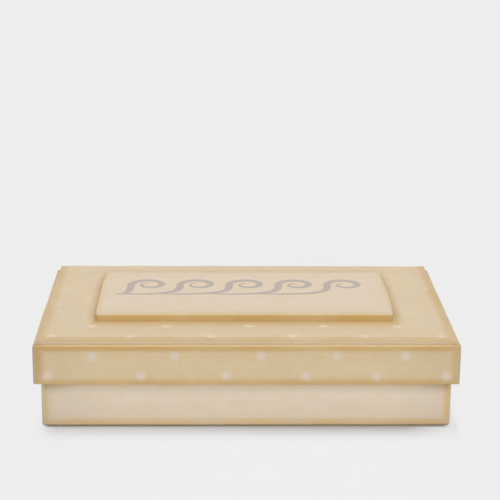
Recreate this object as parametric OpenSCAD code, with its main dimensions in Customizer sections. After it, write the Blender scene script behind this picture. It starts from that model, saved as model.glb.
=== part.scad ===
// Shallow painted wooden keepsake box with an overlapping lid that lifts straight off.
// The lid is four rails round a rebated top board, with a raised plaque fixed on it.
// The base is four walls round a bottom board that lies in a rebate along their lower edge.
// The origin is the centre of the underside: +X to the right, -Y to the front, +Z up.

/* [Lid] */
// Outside width of the lid, left to right
lid_w = 300; // [240:1:420]
// Outside depth of the lid, front to back
lid_d = 190; // [150:1:260]
// Height of the rails that hang down round the lid
rim_h = 29; // [18:0.1:48]
// Thickness of the rails
rail_t = 4.5; // [3.6:0.1:8]
// Thickness of the lower step of the top board, let in between the rails
board_step_t = 4; // [3:0.1:8]
// Thickness of the upper step of the top board, which stands above the rails
board_lip_t = 4.2; // [2.5:0.1:8]
// Ledge of rail left showing all round the upper step
ledge = 3.2; // [2:0.1:4]

/* [Plaque] */
// Width of the raised plaque
plaque_w = 217.4; // [120:1:260]
// Depth of the raised plaque
plaque_d = 109; // [70:1:150]
// Thickness of the raised plaque
plaque_t = 5.2; // [4:0.1:10]
// Distance that the plaque sits behind the middle of the lid
plaque_back = 2; // [0:0.5:5]

/* [Base] */
// Height of the base walls
base_h = 58; // [40:1:90]
// Thickness of the base walls
wall_t = 6; // [5:0.1:9]
// Thickness of the bottom board
bottom_t = 4; // [3:0.1:8]
// Depth of the rebate in the walls that takes the bottom board
rebate = 3; // [2:0.1:3.5]
// Gap between a rail's inner face and the base wall, on each side
lid_gap = 0.5; // [0.3:0.1:1.5]

/* [Eased edges] */
// Radius worn on the upright corners of lid and base
corner_r = 1.6; // [0.5:0.1:3]
// Radius worn on the rails' top edge
rim_top_r = 1.5; // [0.4:0.1:2]
// Radius worn on the rails' bottom edge
rim_foot_r = 0.8; // [0.3:0.1:2]
// Radius worn on the top edges of the top board and the plaque
board_r = 1.2; // [0.4:0.1:2.4]
// Radius worn on the base's bottom edge
base_foot_r = 1.8; // [0.4:0.1:1.8]
// Radius worn on the base's top edge
base_top_r = 0.8; // [0.3:0.1:1.8]

/* [Panel pins] */
// Diameter of a panel pin's shank
pin_d = 1.2; // [0.8:0.1:1.6]
// Diameter of a panel pin's head
head_d = 2; // [1.7:0.1:2.6]
// Thickness of a panel pin's head
head_t = 0.6; // [0.4:0.1:1]
// Depth that each head is punched below the surface
sink = 0.5; // [0.3:0.1:1]
// Length of the pins in the base's corners and its bottom board
base_pin_l = 18; // [14:1:30]
// Length of the pins in the lid's corners and round its top board
lid_pin_l = 15; // [12:1:20]
// Depth that the pins up through the top board reach into the plaque
plaque_bite = 3; // [2:0.1:3.5]
// Distance of an end pin from the end of its row
pin_end = 10; // [8:0.5:14]
// Distance of the plaque's pins from its edges
plaque_pin_in = 14; // [8:1:30]
// Largest distance between two pins along a board's edge
pin_step = 75; // [50:5:120]

/* [Hidden] */
$fn = 48;

base_w = lid_w - 2 * (rail_t + lid_gap);
base_d = lid_d - 2 * (rail_t + lid_gap);
bottom_w = base_w - 2 * (wall_t - rebate);
bottom_d = base_d - 2 * (wall_t - rebate);
rim_top = base_h + board_step_t;
rim_foot = rim_top - rim_h;
board_top = rim_top + board_lip_t;
step_w = lid_w - 2 * rail_t;
step_d = lid_d - 2 * rail_t;
lip_w = lid_w - 2 * ledge;
lip_d = lid_d - 2 * ledge;
plaque_pin_l = board_step_t + board_lip_t - sink + plaque_bite;
base_corner_pin_count = 3;
lid_corner_pin_count = 2;
// How far a cutting shape runs past the face that it opens
past = 1;

paint = "#d8c3a0";
base_paint = "#dccbb0";
plaque_paint = "#e0d0bb";
bare_wood = "#cfa873";
steel = "#9a9a98";

// Places along an edge of the given length, centred on zero and no further apart than pin_step
function edge_places(length) =
    let (run = length - 2 * pin_end, gaps = max(1, ceil(run / pin_step)))
    [for (i = [0:gaps]) -run / 2 + i * run / gaps];

// Heights of n pins spread evenly between two heights
function even_heights(low, high, n) = [for (i = [0:n - 1]) low + (i + 0.5) * (high - low) / n];

// What is outside a quarter circle in the corner of a right angle at the origin
module corner_waste(r) {
    difference() {
        translate([-past, -past]) square(r + past);
        translate([r, r]) circle(r);
    }
}

// A rectangle standing on the X axis, with its upper and lower corners rounded
module eased_outline(w, h, top_r, foot_r) {
    difference() {
        translate([-w / 2, 0]) square([w, h]);
        for (side = [0, 1]) mirror([side, 0]) {
            translate([-w / 2, 0]) corner_waste(foot_r);
            translate([-w / 2, h]) mirror([0, 1]) corner_waste(top_r);
        }
    }
}

// A rectangle standing on the X axis, with only its upper corners rounded
module eased_top_outline(w, h, top_r) {
    difference() {
        translate([-w / 2, 0]) square([w, h]);
        for (side = [0, 1]) mirror([side, 0])
            translate([-w / 2, h]) mirror([0, 1]) corner_waste(top_r);
    }
}

// A block on the XY plane, eased at its upright corners and its top and bottom edges
module eased_block(w, d, h, side_r, top_r, foot_r) {
    intersection() {
        translate([0, -d / 2, 0]) linear_extrude(h) eased_outline(w, d, side_r, side_r);
        translate([0, d / 2, 0]) rotate([90, 0, 0])
            linear_extrude(d) eased_outline(w, h, top_r, foot_r);
        translate([-w / 2, 0, 0]) rotate([90, 0, 90])
            linear_extrude(w) eased_outline(d, h, top_r, foot_r);
    }
}

// A board on the XY plane, square below and eased at its upright corners and top edge
module eased_board(w, d, h, side_r, top_r) {
    intersection() {
        translate([0, -d / 2, 0]) linear_extrude(h) eased_outline(w, d, side_r, side_r);
        translate([0, d / 2, 0]) rotate([90, 0, 0])
            linear_extrude(d) eased_top_outline(w, h, top_r);
        translate([-w / 2, 0, 0]) rotate([90, 0, 90])
            linear_extrude(w) eased_top_outline(d, h, top_r);
    }
}

// A box centred on the Z axis, between two heights
module centred_box(w, d, low, high) {
    translate([-w / 2, -d / 2, low]) cube([w, d, high - low]);
}

// The strip of a frame along its front, which laps the ends of the side strips
module front_strip(w, d, t, h) {
    translate([-w / 2 - past, -d / 2 - past, 0]) cube([w + 2 * past, t + past, h]);
}

// The strip of a frame along its left side, which fits between the front and back strips
module left_strip(w, d, t, h) {
    translate([-w / 2 - past, -d / 2 + t, 0]) cube([t + past, d - 2 * t, h]);
}

// A panel pin driven along +Z, with the top of its head at the origin
module pin(length) {
    cylinder(h = head_t, d = head_d);
    cylinder(h = length, d = pin_d);
}

// The way that the punch leaves above a pin's head
module punch_hole() {
    translate([0, 0, -sink - past]) cylinder(h = sink + past, d = head_d);
}

// The pins through the ends of a frame's front and back strips into its side strips
module corner_pins(w, d, t, heights, length) {
    for (end = [0, 1], x = [-1, 1], z = heights)
        mirror([0, end, 0]) translate([x * (w - t) / 2, -d / 2 + sink, z])
            rotate([-90, 0, 0]) pin(length);
}

module base_pins_at_corners() {
    corner_pins(base_w, base_d, wall_t, even_heights(0, base_h, base_corner_pin_count),
                base_pin_l);
}

module lid_pins_at_corners() {
    corner_pins(lid_w, lid_d, rail_t, even_heights(rim_foot, rim_top, lid_corner_pin_count),
                lid_pin_l);
}

// Places of the pins up through the bottom board into the walls
module at_bottom_pins() {
    for (y = [-1, 1], x = edge_places(bottom_w))
        translate([x, y * (bottom_d - rebate) / 2, sink]) children();
    for (x = [-1, 1], y = edge_places(bottom_d - 2 * pin_end))
        translate([x * (bottom_w - rebate) / 2, y, sink]) children();
}

// Pins through the rails into the edge of the top board's lower step
module board_pins() {
    z = rim_top - board_step_t / 2;
    for (end = [0, 1]) mirror([0, end, 0])
        for (x = edge_places(step_w - 2 * pin_end))
            translate([x, -lid_d / 2 + sink, z]) rotate([-90, 0, 0]) pin(lid_pin_l);
    for (end = [0, 1]) mirror([end, 0, 0])
        for (y = edge_places(step_d - 2 * pin_end))
            translate([-lid_w / 2 + sink, y, z]) rotate([0, 90, 0]) pin(lid_pin_l);
}

// Places of the pins up through the top board into the plaque
module at_plaque_pins() {
    for (x = [-1, 0, 1], y = [-1, 1])
        translate([x * (plaque_w / 2 - plaque_pin_in),
                   plaque_back + y * (plaque_d / 2 - plaque_pin_in),
                   base_h + sink]) children();
}

// All four walls of the base as one eased block, before it is cut into pieces
module base_block() {
    eased_block(base_w, base_d, base_h, corner_r, base_top_r, base_foot_r);
}

// All four rails of the lid as one eased block, before it is cut into pieces
module rim_block() {
    translate([0, 0, rim_foot])
        eased_block(lid_w, lid_d, rim_h, corner_r, rim_top_r, rim_foot_r);
}

// What is cut out of every base wall: the rebate, and the holes that its pins fill
module base_wall_cuts() {
    centred_box(bottom_w, bottom_d, -past, bottom_t);
    base_pins_at_corners();
    at_bottom_pins() pin(base_pin_l);
}

// What is cut out of every rail: the holes that its pins fill
module rail_cuts() {
    lid_pins_at_corners();
    board_pins();
}

module base_long_wall() {
    difference() {
        intersection() {
            base_block();
            front_strip(base_w, base_d, wall_t, base_h);
        }
        base_wall_cuts();
    }
}

module base_short_wall() {
    difference() {
        intersection() {
            base_block();
            left_strip(base_w, base_d, wall_t, base_h);
        }
        base_wall_cuts();
    }
}

module lid_long_rail() {
    difference() {
        intersection() {
            rim_block();
            front_strip(lid_w, lid_d, rail_t, rim_top);
        }
        rail_cuts();
    }
}

module lid_short_rail() {
    difference() {
        intersection() {
            rim_block();
            left_strip(lid_w, lid_d, rail_t, rim_top);
        }
        rail_cuts();
    }
}

module base_front_wall() {
    color(base_paint) base_long_wall();
}

module base_back_wall() {
    color(base_paint) mirror([0, 1, 0]) base_long_wall();
}

module base_left_wall() {
    color(base_paint) base_short_wall();
}

module base_right_wall() {
    color(base_paint) mirror([1, 0, 0]) base_short_wall();
}

module base_bottom_board() {
    color(bare_wood) difference() {
        centred_box(bottom_w, bottom_d, 0, bottom_t);
        at_bottom_pins() {
            pin(base_pin_l);
            punch_hole();
        }
    }
}

module base_corner_pins() {
    color(steel) base_pins_at_corners();
}

module base_bottom_pins() {
    color(steel) at_bottom_pins() pin(base_pin_l);
}

module lid_front_rail() {
    color(paint) lid_long_rail();
}

module lid_back_rail() {
    color(paint) mirror([0, 1, 0]) lid_long_rail();
}

module lid_left_rail() {
    color(paint) lid_short_rail();
}

module lid_right_rail() {
    color(paint) mirror([1, 0, 0]) lid_short_rail();
}

module lid_top_board() {
    color(paint) difference() {
        union() {
            centred_box(step_w, step_d, base_h, rim_top);
            translate([0, 0, rim_top]) eased_board(lip_w, lip_d, board_lip_t, corner_r, board_r);
        }
        board_pins();
        at_plaque_pins() {
            pin(plaque_pin_l);
            punch_hole();
        }
    }
}

module lid_plaque() {
    color(plaque_paint) difference() {
        translate([0, plaque_back, board_top])
            eased_board(plaque_w, plaque_d, plaque_t, corner_r, board_r);
        at_plaque_pins() pin(plaque_pin_l);
    }
}

module lid_corner_pins() {
    color(steel) lid_pins_at_corners();
}

module lid_board_pins() {
    color(steel) board_pins();
}

module lid_plaque_pins() {
    color(steel) at_plaque_pins() pin(plaque_pin_l);
}

base_front_wall();
base_back_wall();
base_left_wall();
base_right_wall();
base_bottom_board();
base_corner_pins();
base_bottom_pins();
lid_front_rail();
lid_back_rail();
lid_left_rail();
lid_right_rail();
lid_top_board();
lid_plaque();
lid_corner_pins();
lid_board_pins();
lid_plaque_pins();
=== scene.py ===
import math
import random

import bmesh
import bpy
from mathutils import Euler, Matrix, Vector, noise


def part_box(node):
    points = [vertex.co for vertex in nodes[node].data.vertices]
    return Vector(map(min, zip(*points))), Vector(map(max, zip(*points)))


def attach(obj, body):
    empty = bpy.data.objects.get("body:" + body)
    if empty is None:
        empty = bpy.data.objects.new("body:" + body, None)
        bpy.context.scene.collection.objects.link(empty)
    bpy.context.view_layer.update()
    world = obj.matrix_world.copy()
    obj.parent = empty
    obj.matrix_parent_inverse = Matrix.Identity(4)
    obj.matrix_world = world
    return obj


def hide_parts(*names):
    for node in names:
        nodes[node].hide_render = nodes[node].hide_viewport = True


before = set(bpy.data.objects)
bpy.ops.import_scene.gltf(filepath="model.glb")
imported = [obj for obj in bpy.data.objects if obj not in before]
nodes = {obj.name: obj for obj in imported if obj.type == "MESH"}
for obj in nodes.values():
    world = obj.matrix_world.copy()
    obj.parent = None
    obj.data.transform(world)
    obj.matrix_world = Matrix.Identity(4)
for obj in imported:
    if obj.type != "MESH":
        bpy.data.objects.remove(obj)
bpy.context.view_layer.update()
scene = bpy.context.scene
MM = 0.001

# The view: a long lens stands well back in front of the box, a little left of its middle and
# above it, and looks gently down, so the box lies low in the picture and its uprights stay
# nearly parallel.
eye = Vector((-22.5, -1150.6, 426.7)) * MM
look_down, look_right, lean = 0.2727, 0.0226, 0.0077  # radians
focal_pixels = 1600
frame_pixels = 500
camera_data = bpy.data.cameras.new("photo_camera")
camera_data.sensor_width = 36
camera_data.lens = focal_pixels / frame_pixels * camera_data.sensor_width
camera = bpy.data.objects.new("photo_camera", camera_data)
turn = Euler((math.pi / 2 - look_down, 0, -look_right)).to_matrix() @ Matrix.Rotation(lean, 3, "Z")
camera.matrix_world = Matrix.Translation(eye) @ turn.to_4x4()
scene.collection.objects.link(camera)
scene.camera = camera
scene.view_settings.view_transform = "Standard"


# The studio: one wide pale sheet that runs from under the box to the far back, under an even
# dome of light, a strip lamp overhead that runs front to back, and a low lamp in front. Past
# the box the lens sees the sheet's pale grey, painted a little cooler just in front of the base
# to offset the warm light that the box throws there.
def srgb(red, green, blue):
    """A colour read off a screen, 0 to 255, as the linear colour that a shader wants."""
    def linear(c):
        c = c / 255
        return c / 12.92 if c <= 0.04045 else ((c + 0.055) / 1.055) ** 2.4
    return (linear(red), linear(green), linear(blue), 1)


def feed(tree, socket, value):
    """Gives a socket a plain value, or links what makes its value."""
    if isinstance(value, bpy.types.NodeSocket):
        tree.links.new(value, socket)
    else:
        socket.default_value = value


def maths(tree, operation, a, b=0.0, clamp=False):
    node = tree.nodes.new("ShaderNodeMath")
    node.operation = operation
    node.use_clamp = clamp
    feed(tree, node.inputs[0], a)
    feed(tree, node.inputs[1], b)
    return node.outputs[0]


def ramp(tree, value, low, high, at_low=0.0, at_high=1.0):
    """A smooth step from one value to another as the input goes from low to high."""
    node = tree.nodes.new("ShaderNodeMapRange")
    node.interpolation_type = "SMOOTHSTEP"
    for socket, given in zip(node.inputs, (value, low, high, at_low, at_high)):
        feed(tree, socket, given)
    return node.outputs[0]


def mix(tree, share, a, b, blend="MIX"):
    node = tree.nodes.new("ShaderNodeMix")
    node.data_type = "RGBA"
    node.blend_type = blend
    feed(tree, node.inputs[0], share)
    feed(tree, node.inputs[6], a)
    feed(tree, node.inputs[7], b)
    return node.outputs[2]


def own_place(tree):
    return tree.nodes.new("ShaderNodeTexCoord").outputs["Object"]


def parts_of(tree, vector):
    split = tree.nodes.new("ShaderNodeSeparateXYZ")
    tree.links.new(vector, split.inputs[0])
    return split.outputs


def seen_or_mirrored(tree):
    """1 for what the lens or a reflection sees, 0 for light that falls on the object."""
    rays = tree.nodes.new("ShaderNodeLightPath").outputs
    return maths(tree, "MAXIMUM", rays["Is Camera Ray"], rays["Is Glossy Ray"])


def choice(tree, share, a, b):
    """One shader or the other, by a share from 0 to 1."""
    node = tree.nodes.new("ShaderNodeMixShader")
    for socket, given in zip(node.inputs, (share, a, b)):
        tree.links.new(given, socket)
    return node.outputs[0]


sheet_grey = srgb(238, 238, 238)
sheet_grey_in_front = srgb(231, 235, 241)
cool_reach = 110 * MM
sheet_size = 12
dome_strength = 0.34
lamps = {
    # name: height over the front horizon, softness (both in degrees), strength
    "overhead_strip_1": (89, 5, 0.416),
    "overhead_strip_2": (93.5, 5, 0.416),
    "overhead_strip_3": (98, 5, 0.398),
    "overhead_strip_4": (102.5, 5, 0.303),
    "overhead_strip_5": (107, 5, 0.18),
    "overhead_strip_6": (112, 6, 0.066),
    "overhead_strip_7": (118, 8, 0.038),
    "front_fill": (14, 24, 1.18),
}

bm = bmesh.new()
bmesh.ops.create_grid(bm, x_segments=8, y_segments=8, size=sheet_size / 2)
bmesh.ops.translate(bm, vec=(0, sheet_size / 3, 0), verts=bm.verts)
sheet = bpy.data.objects.new("studio_sheet", bpy.data.meshes.new("studio_sheet"))
bm.to_mesh(sheet.data)
bm.free()
scene.collection.objects.link(sheet)
sheet_material = bpy.data.materials.new("studio_sheet")
sheet_material.use_nodes = True
tree = sheet_material.node_tree
sheet_shader = tree.nodes["Principled BSDF"]
sheet_shader.inputs["Roughness"].default_value = 1
sheet_shader.inputs["Specular IOR Level"].default_value = 0
base_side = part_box("base_right_wall")[1].x
base_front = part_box("base_front_wall")[0].y
base_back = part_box("base_back_wall")[1].y
spot_x, spot_y, _ = parts_of(tree, own_place(tree))
# A painted cool tint on the sheet just in front of the base, which offsets the warm light that the box
# throws on it there
in_front = ramp(tree, maths(tree, "ABSOLUTE", maths(tree, "SUBTRACT", spot_y, base_front)),
                0.0, cool_reach, 1.0, 0.0)
tree.links.new(mix(tree, in_front, sheet_grey, sheet_grey_in_front), sheet_shader.inputs["Base Color"])

# The sheet also glows a little for the lens, which lightens the box's shade on it: more on the
# left than on the right, most beside the base and far behind it, and not at all in the narrow
# line of contact along the base's front
glow_at_left, glow_at_right = 0.36, 0.03
glow_fades_by = 0.7 * base_side
more_at_left, more_at_right, more_behind = 0.59, 0.77, 0.62
left_from, right_from, beside_to = base_side - 13 * MM, base_side - 40 * MM, base_side + 3 * MM
beside_ends = base_back + 60 * MM
behind_from, behind_to = base_back + 120 * MM, base_back + 240 * MM
contact_from, contact_in = base_front - 1.8 * MM, base_front - 1.1 * MM
contact_out, contact_to = base_front + 1 * MM, base_front + 6 * MM
contact_end = base_side - 6 * MM
glow = tree.nodes.new("ShaderNodeEmission")
glow.inputs["Color"].default_value = sheet_grey
glowing = ramp(tree, spot_x, -base_side, glow_fades_by, glow_at_left, glow_at_right)
beside = maths(tree, "MAXIMUM", ramp(tree, spot_x, -beside_to, -left_from, more_at_left, 0.0),
               ramp(tree, spot_x, right_from, beside_to, 0.0, more_at_right))
beside = maths(tree, "MULTIPLY", beside, ramp(tree, spot_y, base_back, beside_ends, 1.0, 0.0))
behind = ramp(tree, spot_y, behind_from, behind_to, 0.0, more_behind)
glowing = maths(tree, "ADD", glowing, maths(tree, "MAXIMUM", beside, behind))
off_contact = maths(tree, "MAXIMUM", ramp(tree, spot_y, contact_from, contact_in, 1.0, 0.0),
                    ramp(tree, maths(tree, "ABSOLUTE", spot_x), contact_end, base_side))
off_contact = maths(tree, "MAXIMUM", off_contact, ramp(tree, spot_y, contact_out, contact_to))
glowing = maths(tree, "MULTIPLY", glowing, off_contact)
tree.links.new(choice(tree, maths(tree, "MULTIPLY", seen_or_mirrored(tree), glowing),
                      sheet_shader.outputs[0], glow.outputs[0]),
               tree.nodes["Material Output"].inputs["Surface"])
sheet.data.materials.append(sheet_material)

world = bpy.data.worlds.new("studio_dome")
scene.world = world
world.use_nodes = True
tree = world.node_tree
dome = tree.nodes["Background"]
dome.inputs["Color"].default_value = (1, 1, 1, 1)
dome.inputs["Strength"].default_value = dome_strength
backdrop = tree.nodes.new("ShaderNodeBackground")
backdrop.inputs["Color"].default_value = sheet_grey
tree.links.new(choice(tree, seen_or_mirrored(tree), dome.outputs[0], backdrop.outputs[0]),
               tree.nodes["World Output"].inputs["Surface"])

for lamp_name, (height, softness, strength) in lamps.items():
    lamp_data = bpy.data.lights.new(lamp_name, "SUN")
    lamp_data.energy = strength
    lamp_data.angle = math.radians(softness)
    lamp = bpy.data.objects.new(lamp_name, lamp_data)
    lamp.rotation_euler = (math.radians(90 - height), 0, 0)
    scene.collection.objects.link(lamp)


# The base walls are 6 mm boards: the front and back run the full width and the sides fit
# between them, glued and pinned. Their outsides are painted pale cream, with brown glaze
# rubbed into the arrises, and their insides are left as bare wood.
def group(name, inputs, outputs):
    """An empty shader node group with these sockets, its inner nodes and links to add to."""
    made = bpy.data.node_groups.new(name, "ShaderNodeTree")
    kinds = {"value": "NodeSocketFloat", "colour": "NodeSocketColor", "vector": "NodeSocketVector"}
    for label, kind in inputs:
        made.interface.new_socket(label, in_out="INPUT", socket_type=kinds[kind])
    for label, kind in outputs:
        made.interface.new_socket(label, in_out="OUTPUT", socket_type=kinds[kind])
    return made, made.nodes.new("NodeGroupInput").outputs, made.nodes.new("NodeGroupOutput").inputs


def vectors(tree, operation, a, b=(0, 0, 0)):
    node = tree.nodes.new("ShaderNodeVectorMath")
    node.operation = operation
    feed(tree, node.inputs[0], a)
    feed(tree, node.inputs[1], b)
    return node.outputs[0]


def mix_values(tree, share, a, b):
    node = tree.nodes.new("ShaderNodeMix")
    feed(tree, node.inputs[0], share)
    feed(tree, node.inputs[2], a)
    feed(tree, node.inputs[3], b)
    return node.outputs[0]


def grain(tree, place, scale, detail=2.0, rough=0.5, twist=0.0):
    """Noise from 0 to 1 at a place, finer as the scale per metre rises."""
    node = tree.nodes.new("ShaderNodeTexNoise")
    feed(tree, node.inputs["Vector"], place)
    node.inputs["Scale"].default_value = scale
    node.inputs["Detail"].default_value = detail
    node.inputs["Roughness"].default_value = rough
    node.inputs["Distortion"].default_value = twist
    return node.outputs["Fac"]


# How far a point on a block lies from its top arrises, its foot arrises and its upright
# corners, how deep it lies under the nearest face, and whether it is on the top face, on the
# foot face or at the left end
left_end_from, left_end_to = 8 * MM, 10 * MM
face_blend_from, face_blend_to = -0.2 * MM, 0.5 * MM
face_depth_from, face_depth_to = 0.8 * MM, 2 * MM
arris_group, given, made = group(
    "arris_distance",
    [("Low", "vector"), ("High", "vector"), ("Squeeze", "vector")],
    [("Top", "value"), ("Foot", "value"), ("Upright", "value"), ("Depth", "value"),
     ("On Top", "value"), ("On Foot", "value"), ("Left End", "value")])
t = arris_group
place = own_place(t)
above_low = parts_of(t, vectors(t, "SUBTRACT", place, given["Low"]))
below_high = parts_of(t, vectors(t, "SUBTRACT", given["High"], place))
gap_x, gap_y = (maths(t, "MINIMUM", above_low[i], below_high[i]) for i in (0, 1))
nearer = maths(t, "MINIMUM", gap_x, gap_y)
from_foot, from_top = above_low[2], below_high[2]
t.links.new(ramp(t, above_low[0], left_end_from, left_end_to, 1.0, 0.0), made["Left End"])
squeeze = parts_of(t, given["Squeeze"])
in_front, behind = (maths(t, "MULTIPLY", gap, by)
                    for gap, by in ((above_low[1], squeeze[0]), (below_high[1], squeeze[1])))
nearer_top = maths(t, "MINIMUM", gap_x, maths(t, "MINIMUM", in_front, behind))
t.links.new(maths(t, "MAXIMUM", nearer_top, maths(t, "MULTIPLY", from_top, squeeze[2])), made["Top"])
t.links.new(maths(t, "MAXIMUM", nearer, from_foot), made["Foot"])
t.links.new(maths(t, "MAXIMUM", gap_x, gap_y), made["Upright"])
t.links.new(maths(t, "MINIMUM", nearer, maths(t, "MINIMUM", from_foot, from_top)), made["Depth"])
for label, gap in (("On Top", from_top), ("On Foot", from_foot)):
    nearest = ramp(t, maths(t, "SUBTRACT", nearer, gap), face_blend_from, face_blend_to)
    shallow = ramp(t, gap, face_depth_from, face_depth_to, 1.0, 0.0)
    t.links.new(maths(t, "MULTIPLY", nearest, shallow), made[label])

# How far a point lies outside the footprint of what stands on it, and whether it lies beside
# the footprint's two ends. The glaze was wiped from front to back, so it lies wider there and
# narrower beside the ends, and the painted shadow beside the ends fades towards the front and the
# back.
wiped_across, wiped_along = 1.8, 0.45
front_fade, back_fade, stays_at_back = 14 * MM, 30 * MM, 0.3
end_blend_from, end_blend_to = -1 * MM, 0.5 * MM
foot_group, given, made = group(
    "foot_distance", [("Low", "vector"), ("High", "vector")], [("Away", "value"), ("Beside", "value")])
t = foot_group
place = own_place(t)
short_of = vectors(t, "SUBTRACT", given["Low"], place)
beyond = vectors(t, "MAXIMUM", short_of, vectors(t, "SUBTRACT", place, given["High"]))
from_front = ramp(t, parts_of(t, short_of)[1], -front_fade, 0.0, 1.0, 0.0)
past_back = parts_of(t, vectors(t, "SUBTRACT", place, given["High"]))[1]
from_back = ramp(t, past_back, -back_fade, 0.0, 1.0, stays_at_back)
from_ends = maths(t, "MULTIPLY", from_front, from_back)
past_end = ramp(t, parts_of(t, beyond)[0], end_blend_from, end_blend_to)
t.links.new(maths(t, "MULTIPLY", past_end, from_ends), made["Beside"])
beyond = vectors(t, "MULTIPLY", vectors(t, "MAXIMUM", beyond), (wiped_across, wiped_along, 0))
reach = t.nodes.new("ShaderNodeVectorMath")
reach.operation = "LENGTH"
t.links.new(beyond, reach.inputs[0])
t.links.new(reach.outputs["Value"], made["Away"])

# Cream paint laid on with a wide brush, then a thin brown glaze wiped over it, which lets the
# paint show through: it stays in a line along every arris, floods some faces, pools where
# another piece stands, and hazes the rest, and painted shade greys it here and there.
# Bands: how wide the top, foot and upright lines are. Rub: how strong they are.
# Flood: the glaze on the top face, the side faces and the foot face.
# Lap: a factor on the top line's strength on the top face. Squeeze: how many times narrower it
# is along the front and the back there, and down the sides.
# Left: a factor, at the left end, on the upright lines, on their painted shade and on the top
# face's line.
# Crisp: how sharp the foot line is. The line at the lid's edge: its height and strength; it is
# glaze, and it also stands in for the warm shade under that edge. The painted shade: below the
# lid's edge, along the foot and towards the corners.
# Pool: the glaze round what stands on the block, and the painted shadow beside its two ends.
# Pool Band: how wide they are. Dust: the dry colour down the upright corners. Strokes: how
# closely the brush marks lie along each axis.
paint_group, given, made = group(
    "aged_paint",
    [("Paint", "colour"), ("Glaze", "colour"), ("Dust", "colour"), ("Low", "vector"),
     ("High", "vector"), ("Bands", "vector"), ("Rub", "vector"), ("Flood", "vector"),
     ("Lap", "value"), ("Squeeze", "vector"), ("Left", "value"), ("Crisp", "value"),
     ("Lid Line", "vector"), ("Painted Shade", "vector"), ("Foot Low", "vector"), ("Foot High", "vector"),
     ("Pool", "vector"), ("Pool Band", "value"), ("Strokes", "vector")],
    [("Color", "colour"), ("Roughness", "value"), ("Height", "value"), ("Depth", "value")])
t = paint_group
place = own_place(t)
block = t.nodes.new("ShaderNodeGroup")
block.node_tree = arris_group
for label in ("Low", "High", "Squeeze"):
    t.links.new(given[label], block.inputs[label])
foot = t.nodes.new("ShaderNodeGroup")
foot.node_tree = foot_group
for label in ("Low", "High"):
    t.links.new(given["Foot " + label], foot.inputs[label])


def spread(tree, noise_value, amount):
    """Noise as a shift to either side of zero."""
    return maths(tree, "MULTIPLY", maths(tree, "SUBTRACT", noise_value, 0.5), amount)


def layered(tree, a, b):
    """Two thin coats over each other, as the share of the paint that they hide."""
    return maths(tree, "SUBTRACT", maths(tree, "ADD", a, b), maths(tree, "MULTIPLY", a, b), clamp=True)


wiped_thin, left_thick = 0.70, 1.14
fine = grain(t, place, 150, 4)
broad = grain(t, place, 22, 2)
mottle = grain(t, place, 45, 3)
patchy = ramp(t, broad, 0.28, 0.72, wiped_thin, left_thick)
stroked = vectors(t, "MULTIPLY", place, given["Strokes"])
streaks = grain(t, stroked, 1, 3, 0.6)
wide_streaks = grain(t, stroked, 0.24, 2)
band, rub, flood, lid_line, painted_shade, pool = (
    parts_of(t, given[label]) for label in ("Bands", "Rub", "Flood", "Lid Line", "Painted Shade", "Pool"))
at_left = mix_values(t, block.outputs["Left End"], 1.0, given["Left"])

# The glaze that floods whole faces, and the thin film of it that stays everywhere, in specks
# and in clouds
film_specks, film_clouds = 0.05, 0.08
flooded = mix_values(t, block.outputs["On Top"], flood[1], flood[0])
flooded = mix_values(t, block.outputs["On Foot"], flooded, flood[2])
film = maths(t, "ADD", ramp(t, grain(t, place, 320, 2), 0.35, 0.75, 0.0, film_specks),
             ramp(t, grain(t, place, 110, 2), 0.35, 0.75, 0.0, film_clouds))
glazed = maths(t, "ADD", maths(t, "MULTIPLY", patchy, flooded), film)

# Its lines along the arrises: ragged, with a haze beyond them, and thinner where an upright
# corner is worn. Where two lines cross, the stronger one shows.
line_ragged, line_worn = 1.6 * MM, 1.1 * MM
soft_from, sharp_from, upright_worn = 0.28, 0.84, 0.7
haze_from, haze_to = 0.4, 3.2  # in widths of the line
haze_strength = 0.16
lapped = mix_values(t, block.outputs["On Top"], 1.0, given["Lap"])
top_left = mix_values(t, block.outputs["On Top"], 1.0, at_left)
top_rub = maths(t, "MULTIPLY", maths(t, "MULTIPLY", rub[0], lapped), top_left)
corner_rub = maths(t, "MULTIPLY", rub[2], at_left)
foot_line_from = mix_values(t, given["Crisp"], soft_from, sharp_from)
edges = 0.0
for i, (arris, strength, line_from, at_arris) in enumerate((
        ("Top", top_rub, soft_from, 1.0), ("Foot", rub[1], foot_line_from, 1.0),
        ("Upright", corner_rub, soft_from, upright_worn))):
    away = block.outputs[arris]
    ragged = maths(t, "DIVIDE", maths(t, "ADD", away, spread(t, fine, line_ragged)), band[i])
    line = maths(t, "MULTIPLY", ramp(t, ragged, line_from, 1.0, 1.0, 0.0),
                 ramp(t, away, 0.0, line_worn, at_arris, 1.0))
    haze = ramp(t, ragged, haze_from, haze_to, haze_strength, 0.0)
    rubbed = maths(t, "MULTIPLY", maths(t, "MULTIPLY", maths(t, "ADD", line, haze), patchy), strength)
    edges = maths(t, "MAXIMUM", edges, rubbed)
glazed = layered(t, glazed, edges)

# Its pool round what stands on the block: dense at the joint, with a wide thin hem
pool_ragged = 1.2 * MM
pool_dense, pool_thin = 0.67, 0.33
away = maths(t, "DIVIDE", maths(t, "ADD", foot.outputs["Away"], spread(t, fine, pool_ragged)),
             given["Pool Band"])
pooled = maths(t, "ADD", ramp(t, away, 0.0, 1.0, pool_dense, 0.0),
               ramp(t, away, 0.28, 2.4, pool_thin, 0.0))
glazed = layered(t, glazed, maths(t, "MULTIPLY", pooled, pool[0]))

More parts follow.
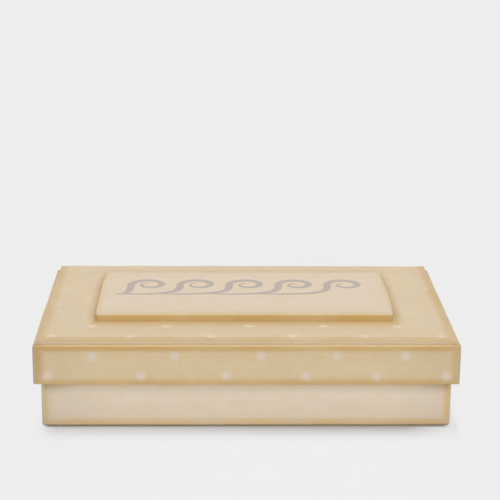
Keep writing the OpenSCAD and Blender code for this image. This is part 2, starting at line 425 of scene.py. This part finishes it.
# The glaze line that the lid's edge left, which also stands in for the warm shade under that
# edge, only below it, where the paint is exposed
lid_line_ragged, lid_line_reach = 0.8 * MM, 6 * MM
exposed_from, exposed_to = -0.6 * MM, 0.2 * MM
below = maths(t, "SUBTRACT", lid_line[0], parts_of(t, place)[2])
below = maths(t, "ADD", below, spread(t, fine, lid_line_ragged))
exposed = ramp(t, below, exposed_from, exposed_to)
lid_line_glaze_and_shade = maths(t, "MULTIPLY", exposed, ramp(t, below, 0.0, lid_line_reach, 1.0, 0.0))
glazed = layered(t, glazed, maths(t, "MULTIPLY", lid_line_glaze_and_shade, lid_line[1]))

# Painted shade: under the lid's edge, most towards the corners, then a contact shade along the
# foot, a darkening down the corners, and a painted shadow beside what stands on the block
lid_shade_reach, lid_shade_ends, lid_shade_at_corner = 9.5 * MM, 32 * MM, 2.0
foot_shade_from, foot_shade_to = 0.6 * MM, 2.0 * MM
corner_shade_reach = 60 * MM
lid_shade_to_corner = ramp(t, block.outputs["Upright"], 0.0, lid_shade_ends, lid_shade_at_corner, 1.0)
shade_under_lid = maths(t, "MULTIPLY", maths(t, "MULTIPLY", painted_shade[0], lid_shade_to_corner), exposed)
painted_shade_share = maths(t, "MULTIPLY", shade_under_lid, ramp(t, below, 0.0, lid_shade_reach, 1.0, 0.0))
foot_shade = ramp(t, block.outputs["Foot"], foot_shade_from, foot_shade_to, 1.0, 0.0)
corner_shade = ramp(t, block.outputs["Upright"], 0.0, corner_shade_reach, 1.0, 0.0)
plaque_end_shadow = maths(t, "MULTIPLY", foot.outputs["Beside"], ramp(t, away, 0.2, 2.2, 1.0, 0.0))
for strength, share in ((painted_shade[1], foot_shade), (maths(t, "MULTIPLY", painted_shade[2], at_left), corner_shade),
                        (pool[1], plaque_end_shadow)):
    painted_shade_share = layered(t, painted_shade_share, maths(t, "MULTIPLY", strength, share))

# The coats over each other: the streaked and mottled paint, the glaze as a filter that the
# light passes twice, the painted shade, a cool tint on the top face that is painted cool light
# from above, and the dry upright corners, with painted cool shade on them at the left end
painted_shade_tint = (0.44, 0.46, 0.45, 1)
left_corner_cool_shade = (0.88, 0.92, 0.97, 1)
top_face_cool_light = (0.985, 0.995, 1.0, 1)
dust_ragged, dust_from, dust_cover = 0.6 * MM, 1.0 * MM, 0.8
dust_to, dust_and_left_shade_to = 2.2 * MM, 3.4 * MM
smoothest, streak_roughness = 0.50, 0.16
tone = 0.90
for marks, strength in ((streaks, 0.08), (wide_streaks, 0.08), (mottle, 0.06)):
    tone = maths(t, "ADD", tone, maths(t, "MULTIPLY", marks, strength))
toned = mix(t, 1.0, given["Paint"], tone, "MULTIPLY")
veil = mix(t, glazed, (1, 1, 1, 1), given["Glaze"])
coated = mix(t, 1.0, mix(t, 1.0, toned, veil, "MULTIPLY"), veil, "MULTIPLY")
coated = mix(t, painted_shade_share, coated, mix(t, 1.0, coated, painted_shade_tint, "MULTIPLY"))
coated = mix(t, block.outputs["On Top"], coated, mix(t, 1.0, coated, top_face_cool_light, "MULTIPLY"))
# At the left end the dry corners reach further in and are greyed cool: painted shade on that side
dust_and_left_shade_reach = mix_values(t, block.outputs["Left End"], dust_to, dust_and_left_shade_to)
dust_and_left_shade = ramp(t, maths(t, "ADD", block.outputs["Upright"], spread(t, fine, dust_ragged)),
              dust_from, dust_and_left_shade_reach, dust_cover, 0.0)
dust_in_left_shade = mix(t, 1.0, given["Dust"], left_corner_cool_shade, "MULTIPLY")
dust = mix(t, block.outputs["Left End"], given["Dust"], dust_in_left_shade)
t.links.new(mix(t, dust_and_left_shade, coated, dust), made["Color"])
t.links.new(maths(t, "ADD", smoothest, maths(t, "MULTIPLY", streaks, streak_roughness)),
            made["Roughness"])
t.links.new(maths(t, "ADD", maths(t, "MULTIPLY", streaks, 0.7), maths(t, "MULTIPLY", fine, 0.3)),
            made["Height"])
t.links.new(block.outputs["Depth"], made["Depth"])

# Bare sanded softwood: pale, with thin darker rings drawn out along the board
wood_group, given, made = group(
    "bare_wood",
    [("Pale", "colour"), ("Ring", "colour"), ("Draw", "vector")],
    [("Color", "colour"), ("Height", "value")])
t = wood_group
drawn = vectors(t, "MULTIPLY", own_place(t), given["Draw"])
rings = grain(t, drawn, 1, 4, 0.6, 0.6)
fibres = grain(t, vectors(t, "MULTIPLY", drawn, (5, 5, 5)), 1, 3)
figure = maths(t, "MULTIPLY", ramp(t, rings, 0.42, 0.66), 0.75)
flecked = maths(t, "ADD", figure, maths(t, "MULTIPLY", ramp(t, fibres, 0.5, 0.75), 0.25))
t.links.new(mix(t, flecked, given["Pale"], given["Ring"]), made["Color"])
t.links.new(maths(t, "ADD", maths(t, "MULTIPLY", rings, 0.5), maths(t, "MULTIPLY", fibres, 0.5)),
            made["Height"])

pine_pale = srgb(222, 190, 142)
pine_ring = srgb(192, 148, 96)
brown_glaze = (0.85, 0.727, 0.522, 1)
ochre_glaze = (0.965, 0.815, 0.50, 1)
dusty_arris = srgb(190, 171, 147)
bare_from, bare_to, bare_ragged = 2.4 * MM, 2.9 * MM, 1.6 * MM
relief_strength, relief_depth = 0.35, 0.12 * MM
mark_ragged, mark_starts, mark_full = 0.35, 0.10, 0.80
rim_to, middle_from = 0.45, 0.95
far_away = Vector((9, 9, 0))  # metres, for a block that nothing stands on


def strokes_along(axis, along=9, across=420):
    """Brush strokes or grain drawn out along one axis, as noise scales per metre."""
    return [along if i == axis else across for i in range(3)]


def painted_wood(name, paint, low, high, axis, bands, rub, glaze=brown_glaze, flood=(0, 0, 0),
                 lap=1.0, squeeze=(2, 2, 1), left=1.0, crisp=0.0, lid_line=(0, 0, 0), painted_shade=(0, 0, 0),
                 foot=None, pool=(0, 0, 0), pool_band=3, dust=dusty_arris,
                 mark=None, mark_colour=None, mark_rim=None, mark_cover=0.8):
    """Wood that is painted on the outside of the block from low to high and bare inside it.
    bands and pool_band are in millimetres. foot is the footprint of what stands on the block,
    or None. mark names an attribute that says how thickly a second colour lies on the paint,
    from its rim to its middle."""
    material = bpy.data.materials.new(name)
    material.use_nodes = True
    tree = material.node_tree
    shader = tree.nodes["Principled BSDF"]
    coat = tree.nodes.new("ShaderNodeGroup")
    coat.node_tree = paint_group
    foot_low, foot_high = foot or (far_away, far_away)
    values = {"Paint": paint, "Glaze": glaze, "Dust": dust, "Low": low, "High": high,
              "Bands": [b * MM for b in bands], "Rub": rub, "Flood": flood, "Lap": lap,
              "Squeeze": squeeze, "Left": left, "Crisp": crisp, "Lid Line": lid_line, "Painted Shade": painted_shade,
              "Foot Low": foot_low, "Foot High": foot_high, "Pool": pool,
              "Pool Band": pool_band * MM, "Strokes": strokes_along(axis)}
    for label, value in values.items():
        coat.inputs[label].default_value = value
    colour, roughness, height = (coat.outputs[s] for s in ("Color", "Roughness", "Height"))
    if mark:
        attribute = tree.nodes.new("ShaderNodeAttribute")
        attribute.attribute_name = mark
        dry = grain(tree, own_place(tree), 900, 3)
        laid = maths(tree, "ADD", attribute.outputs["Fac"], spread(tree, dry, mark_ragged))
        if mark_rim:
            mark_colour = mix(tree, ramp(tree, laid, rim_to, middle_from), mark_rim, mark_colour)
        covered = ramp(tree, laid, mark_starts, mark_full, 0.0, mark_cover)
        colour = mix(tree, covered, colour, mark_colour)
    else:
        wood = tree.nodes.new("ShaderNodeGroup")
        wood.node_tree = wood_group
        wood.inputs["Pale"].default_value = pine_pale
        wood.inputs["Ring"].default_value = pine_ring
        wood.inputs["Draw"].default_value = strokes_along(axis, 6, 190)
        ragged = maths(tree, "ADD", maths(tree, "ABSOLUTE", coat.outputs["Depth"]),
                       maths(tree, "MULTIPLY", grain(tree, own_place(tree), 120, 3), bare_ragged))
        bare = ramp(tree, ragged, bare_from, bare_to)
        colour = mix(tree, bare, colour, wood.outputs["Color"])
        roughness = maths(tree, "ADD", roughness, maths(tree, "MULTIPLY", bare, 0.2))
        height = mix_values(tree, bare, height, wood.outputs["Height"])
    bump = tree.nodes.new("ShaderNodeBump")
    bump.inputs["Strength"].default_value = relief_strength
    bump.inputs["Distance"].default_value = relief_depth
    tree.links.new(height, bump.inputs["Height"])
    tree.links.new(colour, shader.inputs["Base Color"])
    tree.links.new(roughness, shader.inputs["Roughness"])
    tree.links.new(bump.outputs["Normal"], shader.inputs["Normal"])
    shader.inputs["Specular IOR Level"].default_value = 0.35
    return material


# The skin is how far a new piece keeps inside its real size, so that its drift stays in it.
# The noise is seeded, so that the box is sanded alike each time.
skin = 0.14 * MM
drift_mm, drifts_per_metre = 0.07, 14
bite_mm, bites_per_metre, bite_bias, bite_reach = 0.55, 42, 0.2, 3 * MM
noise.seed_set(3)


def worn(point, low, high):
    """Where a point of the straight drawing lies once the block from low to high is sanded by
    hand: faces drift by less than the skin, and arrises lose a little more here and there."""
    drift = noise.noise_vector(point * drifts_per_metre) * drift_mm * MM
    inwards = Vector()
    near = []
    for i in range(3):
        gap = min(point[i] - low[i], high[i] - point[i])
        near.append(max(0.0, 1 - abs(gap) / bite_reach))
        inwards[i] = math.copysign(near[i], (low[i] + high[i]) / 2 - point[i])
    near.sort()
    bitten = max(0.0, noise.noise(point * bites_per_metre) + bite_bias)
    bite = bitten * bite_mm * MM * near[1] * near[2]
    return point + drift + inwards * bite


def side_of(normal):
    """left, right, front, back, foot or top, as a face's normal points."""
    axis = max(range(3), key=lambda i: abs(normal[i]))
    return (("left", "right"), ("front", "back"), ("foot", "top"))[axis][normal[axis] > 0]


inner_ease = 0.25 * MM
past_ease = 0.3 * MM
too_thin = 2.5  # margins, below which a piece isn't cut across
cell = 6 * MM
smooth_up_to = math.radians(32)
same_plane = 1e-5


def eased(bm, name, eases):
    """Turns a plain block into a piece: rounds each edge by the radius that eases gives for
    its two sides, and cuts its faces into cells that a hand-sanded drift can bend."""
    bm.normal_update()
    widest = max(list(eases.values()) + [inner_ease])
    weight = bm.edges.layers.float.new("bevel_weight_edge")
    for edge in bm.edges:
        sides = frozenset(side_of(f.normal) for f in edge.link_faces)
        edge[weight] = eases.get(sides, inner_ease) / widest
    piece = bpy.data.objects.new(name, bpy.data.meshes.new(name))
    bm.to_mesh(piece.data)
    bm.free()
    scene.collection.objects.link(piece)
    round_over = piece.modifiers.new("round_over", "BEVEL")
    round_over.limit_method = "WEIGHT"
    round_over.width = widest
    round_over.segments = 4
    round_over.use_clamp_overlap = False
    apply_modifiers(piece)
    bm = bmesh.new()
    bm.from_mesh(piece.data)
    for axis in range(3):
        ends = [min(v.co[axis] for v in bm.verts), max(v.co[axis] for v in bm.verts)]
        margin = widest + past_ease
        if ends[1] - ends[0] < too_thin * margin:
            continue
        count = max(1, round((ends[1] - ends[0] - 2 * margin) / cell))
        for i in range(count + 1):
            cut = ends[0] + margin + i * (ends[1] - ends[0] - 2 * margin) / count
            normal = [float(axis == k) for k in range(3)]
            bmesh.ops.bisect_plane(bm, geom=bm.verts[:] + bm.edges[:] + bm.faces[:],
                                   plane_co=[cut * n for n in normal], plane_no=normal)
    bm.to_mesh(piece.data)
    bm.free()
    return piece


def apply_modifiers(piece):
    """Gives the piece the mesh that its modifiers make, and takes them off it."""
    graph = bpy.context.evaluated_depsgraph_get()
    solid = bpy.data.meshes.new_from_object(piece.evaluated_get(graph), depsgraph=graph)
    solid.name = piece.name
    piece.modifiers.clear()
    piece.data = solid


def cut_away(piece, cutter):
    """Cuts a closed shape out of a piece."""
    tool = bpy.data.objects.new("cutter", bpy.data.meshes.new("cutter"))
    cutter.to_mesh(tool.data)
    cutter.free()
    scene.collection.objects.link(tool)
    cut = piece.modifiers.new("cut", "BOOLEAN")
    cut.operation = "DIFFERENCE"
    cut.solver = "EXACT"
    cut.object = tool
    apply_modifiers(piece)
    bpy.data.objects.remove(tool)


def finish_piece(piece, block, material, body, *stands_for, slot):
    """Sands the piece as part of its block, smooths its rounded edges, and hands it over."""
    bm = bmesh.new()
    bm.from_mesh(piece.data)
    for vert in bm.verts:
        vert.co = worn(vert.co, *block)
    bm.normal_update()
    for face in bm.faces:
        face.smooth = True
    for edge in bm.edges:
        edge.smooth = len(edge.link_faces) == 2 and edge.calc_face_angle(0) < smooth_up_to
    bm.to_mesh(piece.data)
    bm.free()
    piece.data.materials.clear()
    piece.data.materials.append(material)
    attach(piece, body)
    if stands_for:
        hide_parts(*stands_for)


def joined_box(*names):
    """The box around several of the model's pieces."""
    lows, highs = zip(*(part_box(n) for n in names))
    return (Vector([min(c[i] for c in lows) for i in range(3)]),
            Vector([max(c[i] for c in highs) for i in range(3)]))


def plain_block(low, high):
    """A straight block from one corner to the other, as a new bmesh."""
    bm = bmesh.new()
    bmesh.ops.create_cube(bm, size=1)
    bmesh.ops.scale(bm, vec=high - low, verts=bm.verts)
    bmesh.ops.translate(bm, vec=(low + high) / 2, verts=bm.verts)
    return bm


def frame_strip(node, block, outer, uprights, top, foot):
    """One side of a frame, eased only where it is part of the frame's outside, and drawn in
    by the skin there so that paint and drift stay inside the real size."""
    low, high = (Vector(c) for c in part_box(node))
    for i in range(3):
        if abs(low[i] - block[0][i]) < same_plane:
            low[i] += skin
        if abs(high[i] - block[1][i]) < same_plane:
            high[i] -= skin
    eases = {}
    for a in outer:
        eases[frozenset((a, "top"))] = top
        eases[frozenset((a, "foot"))] = foot
        for b in outer:
            if a != b:
                eases[frozenset((a, b))] = uprights
    return eased(plain_block(low, high), node, eases)


outer_sides = {"front": ("front", "left", "right"), "back": ("back", "left", "right"),
               "left": ("left",), "right": ("right",)}
run_of = {"front": 0, "back": 0, "left": 1, "right": 1}

base_cream = srgb(222, 207, 187)
base_dust = srgb(204, 190, 168)
base_corner = 1.6 * MM
base_top_ease = 0.8 * MM
base_foot_ease = 1.8 * MM
cuts_through = Vector((0, 0, 5 * MM))
base_block = joined_box(*("base_%s_wall" % side for side in outer_sides))
bottom_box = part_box("base_bottom_board")
lid_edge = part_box("lid_front_rail")[0].z
for side, outer in outer_sides.items():
    node = "base_%s_wall" % side
    wall = frame_strip(node, base_block, outer, base_corner, base_top_ease, base_foot_ease)
    cut_away(wall, plain_block(Vector(bottom_box[0]) - cuts_through, Vector(bottom_box[1])))
    # Painted shade darkens the walls under the lid's edge, along the foot and towards the corners, and
    # the glaze line at the lid's edge also stands in for the warm shade there
    finish_piece(wall, base_block,
                 painted_wood(node, base_cream, *base_block, run_of[side], glaze=ochre_glaze,
                              bands=(5, 7.8, 7.4), rub=(0.4, 0.42, 0.54), flood=(0.2, 0.0, 1.0),
                              left=1.3, crisp=0.4, lid_line=(lid_edge, 0.30, 0),
                              painted_shade=(0.42, 1.0, 0.14), dust=base_dust),
                 "base", node, slot="base_paint")


# The bottom board is thin plywood, let into the rebate in the walls and pinned from below,
# left bare on both faces. It shows inside the box and under it.
plywood_pale = srgb(219, 184, 134)
plywood_ring = srgb(190, 146, 95)


def bare_board(name, axis):
    """Bare wood on every face, its grain running along one axis."""
    material = bpy.data.materials.new(name)
    material.use_nodes = True
    tree = material.node_tree
    shader = tree.nodes["Principled BSDF"]
    wood = tree.nodes.new("ShaderNodeGroup")
    wood.node_tree = wood_group
    wood.inputs["Pale"].default_value = plywood_pale
    wood.inputs["Ring"].default_value = plywood_ring
    wood.inputs["Draw"].default_value = strokes_along(axis, 5, 120)
    bump = tree.nodes.new("ShaderNodeBump")
    bump.inputs["Strength"].default_value = 0.4
    bump.inputs["Distance"].default_value = 0.1 * MM
    tree.links.new(wood.outputs["Height"], bump.inputs["Height"])
    tree.links.new(wood.outputs["Color"], shader.inputs["Base Color"])
    tree.links.new(bump.outputs["Normal"], shader.inputs["Normal"])
    tree.links.new(maths(tree, "ADD", 0.6, maths(tree, "MULTIPLY", wood.outputs["Height"], 0.2)),
                   shader.inputs["Roughness"])
    return material


bottom_board = nodes["base_bottom_board"]
bottom_board.data.materials.clear()
bottom_board.data.materials.append(bare_board("base_bottom_board", 0))


# The panel pins are plain steel wire with small flat heads, punched below the surface. Those
# in painted faces are filled over, so only the ones under the box and under the lid show.
bright_steel = srgb(168, 166, 162)
dull_steel = srgb(118, 112, 104)
steel = bpy.data.materials.new("pin_steel")
steel.use_nodes = True
tree = steel.node_tree
shader = tree.nodes["Principled BSDF"]
shader.inputs["Metallic"].default_value = 1
tarnish = grain(tree, own_place(tree), 1800, 3)
tree.links.new(mix(tree, tarnish, bright_steel, dull_steel), shader.inputs["Base Color"])
tree.links.new(ramp(tree, tarnish, 0.2, 0.8, 0.28, 0.55), shader.inputs["Roughness"])
for node in nodes:
    if node.endswith("_pins"):
        nodes[node].data.materials.clear()
        nodes[node].data.materials.append(steel)


# The lid's rails are thin strips that hang down round the base with half a millimetre of
# play, glued and pinned at the corners. Their cream is yellower than the base's, and the
# glaze is heavier, most of all down the left-hand corner.
rail_cream = srgb(213, 193, 159)
rim_glaze = (0.88, 0.75, 0.50, 1)
rail_corner = 1.6 * MM
rail_top_ease = 1.5 * MM
rail_foot_ease = 0.8 * MM
rim_block = joined_box(*("lid_%s_rail" % side for side in outer_sides))
rail_paint = (rail_cream, *rim_block)
# Painted shade darkens the rails a little along the foot and down the upright corners, most at the
# left
rail_glaze = {"bands": (6.4, 6.2, 9.4), "rub": (0.60, 0.52, 0.45), "flood": (0.16, 0.02, 0.8),
              "lap": 0.1, "left": 1.4, "glaze": rim_glaze, "painted_shade": (0, 0.08, 0.11)}
for side, outer in outer_sides.items():
    node = "lid_%s_rail" % side
    rail = frame_strip(node, rim_block, outer, rail_corner, rail_top_ease, rail_foot_ease)
    finish_piece(rail, rim_block, painted_wood(node, *rail_paint, axis=run_of[side], **rail_glaze),
                 "lid", node, slot="lid_paint")


# The top board is stepped all round: its lower step is let in between the rails and pinned
# through them, and its upper step laps over them, short of their outside by a narrow ledge.
board_cream = srgb(218, 199, 169)
board_dust = srgb(208, 190, 165)
lip_ease = 1.2 * MM
bedded = 0.35 * MM  # how far it sinks into what it stands on, so that the drift opens no gap
around = ("front", "back", "left", "right")
board_low, board_high = (Vector(c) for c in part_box("lid_top_board"))
rail_top = rim_block[1].z
rail_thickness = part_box("lid_left_rail")[1].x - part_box("lid_left_rail")[0].x
ledge = board_low.x - rim_block[0].x
lip_block = (Vector((board_low.x, board_low.y, rail_top)), board_high)
bm = plain_block(lip_block[0] + Vector((skin, skin, -bedded)), lip_block[1] - Vector((skin,) * 3))
bm.faces.ensure_lookup_table()
bm.normal_update()
under = [f for f in bm.faces if side_of(f.normal) == "foot"]
bmesh.ops.inset_region(bm, faces=under, thickness=rail_thickness - ledge - skin)
stepped = bmesh.ops.extrude_face_region(bm, geom=under)
bmesh.ops.delete(bm, geom=under, context="FACES")
bmesh.ops.translate(bm, vec=(0, 0, board_low.z - rail_top + bedded),
                    verts=[v for v in stepped["geom"] if isinstance(v, bmesh.types.BMVert)])
bmesh.ops.recalc_face_normals(bm, faces=bm.faces)
upper = {frozenset((a, "top")): lip_ease for a in around}
board = eased(bm, "lid_top_board", upper)

# The pins into the plaque have their heads punched half a millimetre into the board's underside
pin_low, pin_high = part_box("lid_plaque_pins")
head_radius = 1.0 * MM
punch_depth = 2 * MM
for x in (pin_low[0] + head_radius, (pin_low[0] + pin_high[0]) / 2, pin_high[0] - head_radius):
    for y in (pin_low[1] + head_radius, pin_high[1] - head_radius):
        punch = bmesh.new()
        bmesh.ops.create_cone(punch, cap_ends=True, segments=24, radius1=head_radius,
                              radius2=head_radius, depth=punch_depth)
        bmesh.ops.translate(punch, vec=(x, y, pin_low[2] - punch_depth / 2), verts=punch.verts)
        cut_away(board, punch)

# Its wear is worked out on a block that reaches further down, so that only its upper arrises
# and its corners are sanded, and its glaze pools round the plaque, which was fixed on it half a
# millimetre left of the middle, with a painted shadow beside the plaque's two ends
rooted = Vector((0, 0, 5 * MM))
lip_wear = (lip_block[0] - rooted, lip_block[1])
plaque_low, plaque_high = (Vector(c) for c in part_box("lid_plaque"))
plaque_block = (Vector((plaque_low.x, plaque_low.y, board_high.z)), plaque_high)
plaque_shift = Vector((-0.45 * MM, 0, 0))
plaque_foot = tuple(corner + plaque_shift for corner in plaque_block)
board_paint = (board_cream, *lip_block)
board_glaze = {"bands": (9, 2, 5), "rub": (0.36, 0.0, 0.2), "flood": (0.03, 0.05, 0.14),
               "lap": 1.17, "left": 0.85, "squeeze": (1.6, 4, 3.2), "foot": plaque_foot,
               "pool": (0.62, 0.27, 0), "pool_band": 6.5, "dust": board_dust}
finish_piece(board, lip_wear, painted_wood("lid_top_board", *board_paint, axis=0, **board_glaze),
             "lid", "lid_top_board", slot="lid_paint")


# The plaque is a plain board glued and pinned on from inside the lid. It is the palest
# piece, and its edges, which carry the heaviest glaze, are nearly caramel.
plaque_cream = srgb(221, 203, 181)
caramel_glaze = (0.895, 0.80, 0.53, 1)
plaque_dust = srgb(204, 170, 120)
plaque_ease = 1.2 * MM
plaque_corner = 1.6 * MM
low = plaque_block[0] + Vector((skin, skin, -bedded))
high = plaque_block[1] - Vector((skin,) * 3)
eases = {frozenset((a, "top")): plaque_ease for a in around}
eases.update({frozenset((a, b)): plaque_corner for a in around for b in around if a != b})
plaque = eased(plain_block(low, high), "lid_plaque", eases)

# Its two ends were sawn by hand: they belly out between the corners, the right-hand one most.
# Each corner, as left or right and front or back, is drawn in by its own pull.
plaque_belly = 0.3 * MM
pulls = {(-1, -1): 0.2 * MM, (-1, 1): 1.6 * MM, (1, -1): 2.2 * MM, (1, 1): 1.8 * MM}
plaque_middle = (plaque_block[0] + plaque_block[1]) / 2
plaque_half = (plaque_block[1] - plaque_block[0]) / 2
for vert in plaque.data.vertices:
    across = (vert.co.x - plaque_middle.x) / plaque_half.x
    along = (vert.co.y - plaque_middle.y) / plaque_half.y
    pull = pulls[(int(math.copysign(1, across)), int(math.copysign(1, along)))]
    vert.co.x += plaque_shift.x + plaque_belly * across - pull * across * along ** 2
plaque_wear = (plaque_block[0] - rooted, plaque_block[1])
plaque_paint = (plaque_cream, *plaque_block)
plaque_glaze = {"bands": (5.2, 3, 3), "rub": (0.34, 0.0, 0.1), "flood": (0.0, 0.84, 0.84),
                "squeeze": (0.62, 1.5, 1), "left": 0.6, "glaze": caramel_glaze, "dust": plaque_dust}
finish_piece(plaque, plaque_wear, painted_wood("lid_plaque", *plaque_paint, axis=0, **plaque_glaze),
             "lid", "lid_plaque", slot="plaque_paint")


# The lid is dotted by hand with a round brush: greyish white dabs about 7 mm across, fading at
# their rims, in two staggered rows on the rails, and warmer ones in rows over the top board.
# The paint is thick enough to stand up a little.
grey_white = srgb(216, 205, 194)
warm_white = srgb(232, 211, 188)
dab_radius = 5 * MM
dab_rise = 0.09 * MM
dab_stray_mm = 0.4
dab_least, dab_most = 0.94, 1.05
dab_wobble, wobbles_around, wobbles_per_metre = 0.09, 1.3, 900
paint_ends_at, paint_full_over = 1.2, 1.26  # in radii, so the rim still holds some paint
upper_row, lower_row = 54.3, 39.8
rail_dots = ((upper_row, 1, (-108, -50, 10, 63, 111)),
             (lower_row, 1, (-139, -74.4, -14.6, 42, 91.1, 140)))
end_dots = ((upper_row, 1, (-58, -3, 52)), (lower_row, 1, (-84, -31, 24, 79)))
top_dots = ((-86, 1, (-137, -82, -26, 32, 83, 136)), (-63.8, 1, (-110, -57, 2, 55, 109)),
            (-30.5, 0.55, (-136, 137)), (1, 0.55, (-117, 117)), (27, 0.55, (-137, 139)),
            (62, 0.5, (-112, -56, 1, 56, 112)), (84, 0.4, (-137, -82, -26, 32, 83, 136)))
dab_places = random.Random(7)


def dabs(name, rows, across, up, outward, block, paint, glaze, colour, cover):
    """Dabs on one face of a block. across and up are the face's own directions. A row is its
    height, how well its paint covers, and its places, all in millimetres but the cover."""
    bm = bmesh.new()
    thickness = bm.verts.layers.float.new("dab")
    centre = (block[0] + block[1]) / 2
    half = (block[1] - block[0]) / 2
    face = outward * (sum(abs(outward[i]) * half[i] for i in range(3)) - skin)
    face += Vector([centre[i] * abs(outward[i]) for i in range(3)])
    for height, row_cover, places in rows:
        for place_along in places:
            shift = [dab_places.uniform(-dab_stray_mm, dab_stray_mm) for _ in range(2)]
            size = dab_radius * dab_places.uniform(dab_least, dab_most)
            middle = face + (across * (place_along + shift[0]) + up * (height + shift[1])) * MM
            for vert in bmesh.ops.create_uvsphere(bm, u_segments=20, v_segments=12,
                                                  radius=1)["verts"]:
                flat = Vector((vert.co.x, vert.co.y, 0))
                unevenness = noise.noise(flat * wobbles_around + middle * wobbles_per_metre)
                wobble = 1 + dab_wobble * unevenness
                vert[thickness] = row_cover * ((paint_ends_at - flat.length) / paint_full_over)
                vert.co = (middle + across * vert.co.x * size * wobble + up * vert.co.y * size * wobble
                           + outward * vert.co.z * dab_rise)
    if across.cross(up).dot(outward) < 0:
        bmesh.ops.reverse_faces(bm, faces=bm.faces)
    piece = bpy.data.objects.new(name, bpy.data.meshes.new(name))
    bm.to_mesh(piece.data)
    bm.free()
    scene.collection.objects.link(piece)
    axis = max(range(3), key=lambda i: abs(across[i]))
    finish_piece(piece, block, painted_wood(name, *paint, axis=axis, mark="dab", mark_colour=colour,
                                            mark_cover=cover, **glaze),
                 "lid", slot="lid_paint")


right, back, up = Vector((1, 0, 0)), Vector((0, 1, 0)), Vector((0, 0, 1))
for side, across, outward in (("front", right, -back), ("back", right, back)):
    dabs("lid_%s_dots" % side, rail_dots, across, up, outward, rim_block, rail_paint, rail_glaze,
         grey_white, 0.62)
for side, outward in (("left", -right), ("right", right)):
    dabs("lid_%s_dots" % side, end_dots, back, up, outward, rim_block, rail_paint, rail_glaze,
         grey_white, 0.62)
dabs("lid_top_dots", top_dots, right, back, up, lip_wear, board_paint, board_glaze, warm_white, 0.65)


# The ornament on the plaque is a plain running wave of five curls, brushed on in thin grey
# paint that gathers darker along the rims of each stroke. Every wave grows out of the foot of
# the one before it, runs along the bottom, rises and rolls over.
ornament_grey = srgb(177, 167, 160)
ornament_rim = srgb(154, 144, 137)
brush_radius = 3.2 * MM
wave_count = 5
wave_left, wave_right, wave_foot, wave_crest = -97 * MM, 90 * MM, -4 * MM, 34 * MM
wave_run = (wave_right - wave_left) / wave_count
curl_across, curl_up = 0.36 * wave_run, 0.33 * (wave_crest - wave_foot)
curl_turns, curl_closes, curl_hurries = 1.2, 0.72, 1.1
curl_steps, rise_steps = 44, 26
lightest, pressing, presses_early, press_shape = 0.40, 0.60, 1.15, 0.8
unsteady, unsteady_per_metre = 0.12, 160
strokes = bpy.data.curves.new("ornament_strokes", "CURVE")
strokes.dimensions = "3D"
strokes.bevel_depth = brush_radius
strokes.bevel_resolution = 3
strokes.use_fill_caps = True
for number in range(wave_count):
    # The rise is a curve that four points lead, from the wave before it up to the curl's side
    curl = Vector((wave_left + (number + 1) * wave_run - curl_across, wave_crest - curl_up))
    start = Vector((curl.x - 1.42 * wave_run - 1.09 * curl_across, wave_foot + 0.13 * curl_up))
    start.x = max(start.x, wave_left)
    leads = (start,
             Vector((curl.x - 1.1 * curl_across, wave_foot - 0.1 * curl_up)),
             Vector((curl.x - curl_across, curl.y - 1.3 * curl_up)),
             Vector((curl.x - curl_across, curl.y)))
    path = []
    for i in range(rise_steps):
        along = i / rise_steps
        weights = ((1 - along) ** 3, 3 * along * (1 - along) ** 2, 3 * along ** 2 * (1 - along),
                   along ** 3)
        path.append(sum((w * lead for w, lead in zip(weights, leads)), Vector((0, 0))))
    for i in range(curl_steps + 1):
        wound = i / curl_steps
        angle = math.pi - wound * curl_turns * 2 * math.pi
        reach = 1 - curl_closes * wound ** curl_hurries
        path.append(curl + Vector((curl_across * reach * math.cos(angle),
                                   curl_up * reach * math.sin(angle))))
    stroke = strokes.splines.new("POLY")
    stroke.points.add(len(path) - 1)
    for i, (point, (x, y)) in enumerate(zip(stroke.points, path)):
        point.co = (x, y, 0, 1)
        along = i / (len(path) - 1)
        lift = math.sin(math.pi * min(1, along * presses_early))
        pressed = lightest + pressing * lift ** press_shape
        shake = noise.noise(Vector((x, y, 0)) * unsteady_per_metre)
        point.radius = pressed * (1 + unsteady * shake)
drawn_strokes = bpy.data.objects.new("ornament_strokes", strokes)
scene.collection.objects.link(drawn_strokes)
graph = bpy.context.evaluated_depsgraph_get()
ornament = bpy.data.objects.new("lid_plaque_ornament", bpy.data.meshes.new_from_object(
    drawn_strokes.evaluated_get(graph), depsgraph=graph))
bpy.data.objects.remove(drawn_strokes)
scene.collection.objects.link(ornament)

# The strokes are pressed flat on the plaque, thick in their middle and thin along their rims
paint_builds = 1.5
bm = bmesh.new()
bm.from_mesh(ornament.data)
bmesh.ops.remove_doubles(bm, verts=bm.verts, dist=1e-6)
thickness = bm.verts.layers.float.new("brushed")
for vert in bm.verts:
    rise = vert.co.z / brush_radius
    vert[thickness] = max(0.0, min(1.0, rise * paint_builds))
    vert.co.z = plaque_high.z - skin + rise * dab_rise
bmesh.ops.recalc_face_normals(bm, faces=bm.faces)
bm.to_mesh(ornament.data)
bm.free()
finish_piece(ornament, plaque_wear,
             painted_wood("lid_plaque_ornament", *plaque_paint, axis=0, mark="brushed",
                          mark_colour=ornament_grey, mark_rim=ornament_rim, mark_cover=0.9,
                          **plaque_glaze),
             "lid", slot="plaque_paint")
